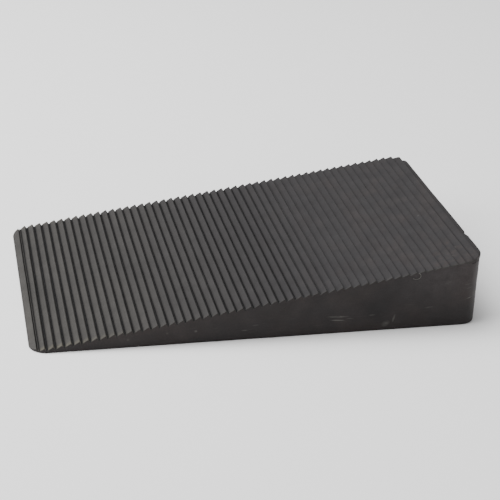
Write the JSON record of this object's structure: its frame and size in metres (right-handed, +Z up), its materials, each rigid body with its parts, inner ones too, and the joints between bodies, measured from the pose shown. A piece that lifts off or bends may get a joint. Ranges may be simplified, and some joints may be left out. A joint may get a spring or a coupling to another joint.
{
  "type": "door stop wedge",
  "caption": "One-piece solid rubber wedge with saw teeth across its ramp, pushed under a door to hold it open.",
  "frame": {"origin": "on the floor plane, under the middle of the outline", "axes": "+X from the thin toe to the tall heel, +Y across the ramp, +Z up"},
  "size_m": [0.161, 0.1006, 0.026],
  "materials": {
    "black_rubber": "matt moulded rubber, charcoal black, slightly dusty on the ramp"
  },
  "bodies": {
    "root": {"rubber_wedge": "black_rubber"}
  },
  "joints": []
}
